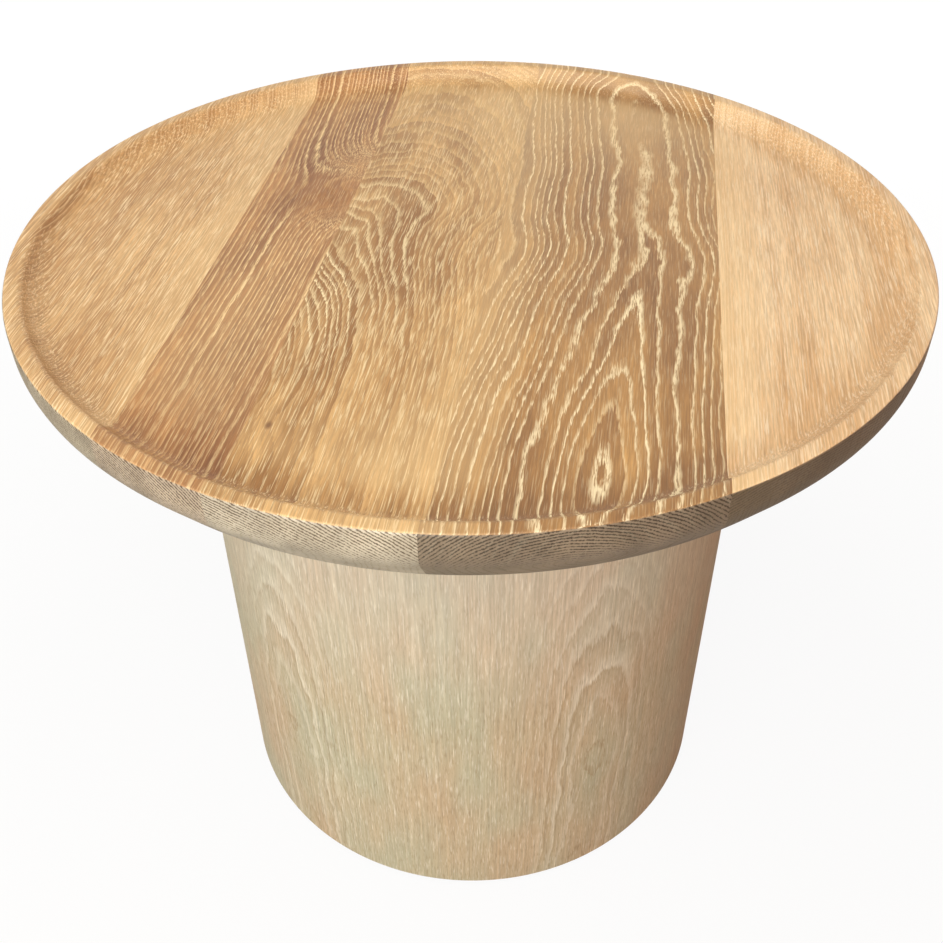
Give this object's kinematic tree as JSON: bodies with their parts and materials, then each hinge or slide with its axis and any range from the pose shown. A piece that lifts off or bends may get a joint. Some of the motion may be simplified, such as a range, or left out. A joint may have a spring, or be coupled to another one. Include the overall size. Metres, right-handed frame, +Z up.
{
  "type": "round side table",
  "caption": "Round side table with a dished solid timber tray top, flat lip and undercut edge, on a plain veneered drum base.",
  "frame": {"origin": "on the floor at the centre of the drum, where the felt pads touch down", "axes": "+Z up; +Y along the grain of the top, away from the front; +X to the right, across the boards"},
  "size_m": [0.6, 0.6, 0.484],
  "materials": {
    "oak_board_1": "satin lacquer over limed grain",
    "oak_board_2": "satin lacquer over limed grain",
    "oak_board_3": "satin lacquer over limed grain",
    "oak_board_4": "satin lacquer over limed grain",
    "oak_board_5": "satin lacquer over limed grain",
    "oak_veneer": "matt lacquer",
    "shell_plywood": "sanded, bare",
    "birch_plywood": "sanded, bare",
    "pine": "planed, bare",
    "beech": "planed, bare",
    "zinc_steel": "bright zinc",
    "wool_felt": "pressed felt"
  },
  "bodies": {
    "root": {"top_board_1": "oak_board_1", "top_board_2": "oak_board_2", "top_board_3": "oak_board_3", "top_board_4": "oak_board_4", "top_board_5": "oak_board_5", "joint_1_spline": "beech", "joint_2_spline": "beech", "joint_3_spline": "beech", "joint_4_spline": "beech", "front_shell": "shell_plywood", "rear_shell": "shell_plywood", "shell_splines": "beech", "top_plate": "birch_plywood", "base_ring": "birch_plywood", "upright_front": "pine", "upright_right": "pine", "upright_rear": "pine", "upright_left": "pine", "top_fixing_screws": "zinc_steel", "top_fixing_washers": "zinc_steel", "felt_pads": "wool_felt", "veneer_leaf_1": "oak_veneer", "veneer_leaf_2": "oak_veneer", "veneer_leaf_3": "oak_veneer", "veneer_leaf_4": "oak_veneer", "veneer_leaf_5": "oak_veneer", "veneer_leaf_6": "oak_veneer"}
  },
  "joints": []
}
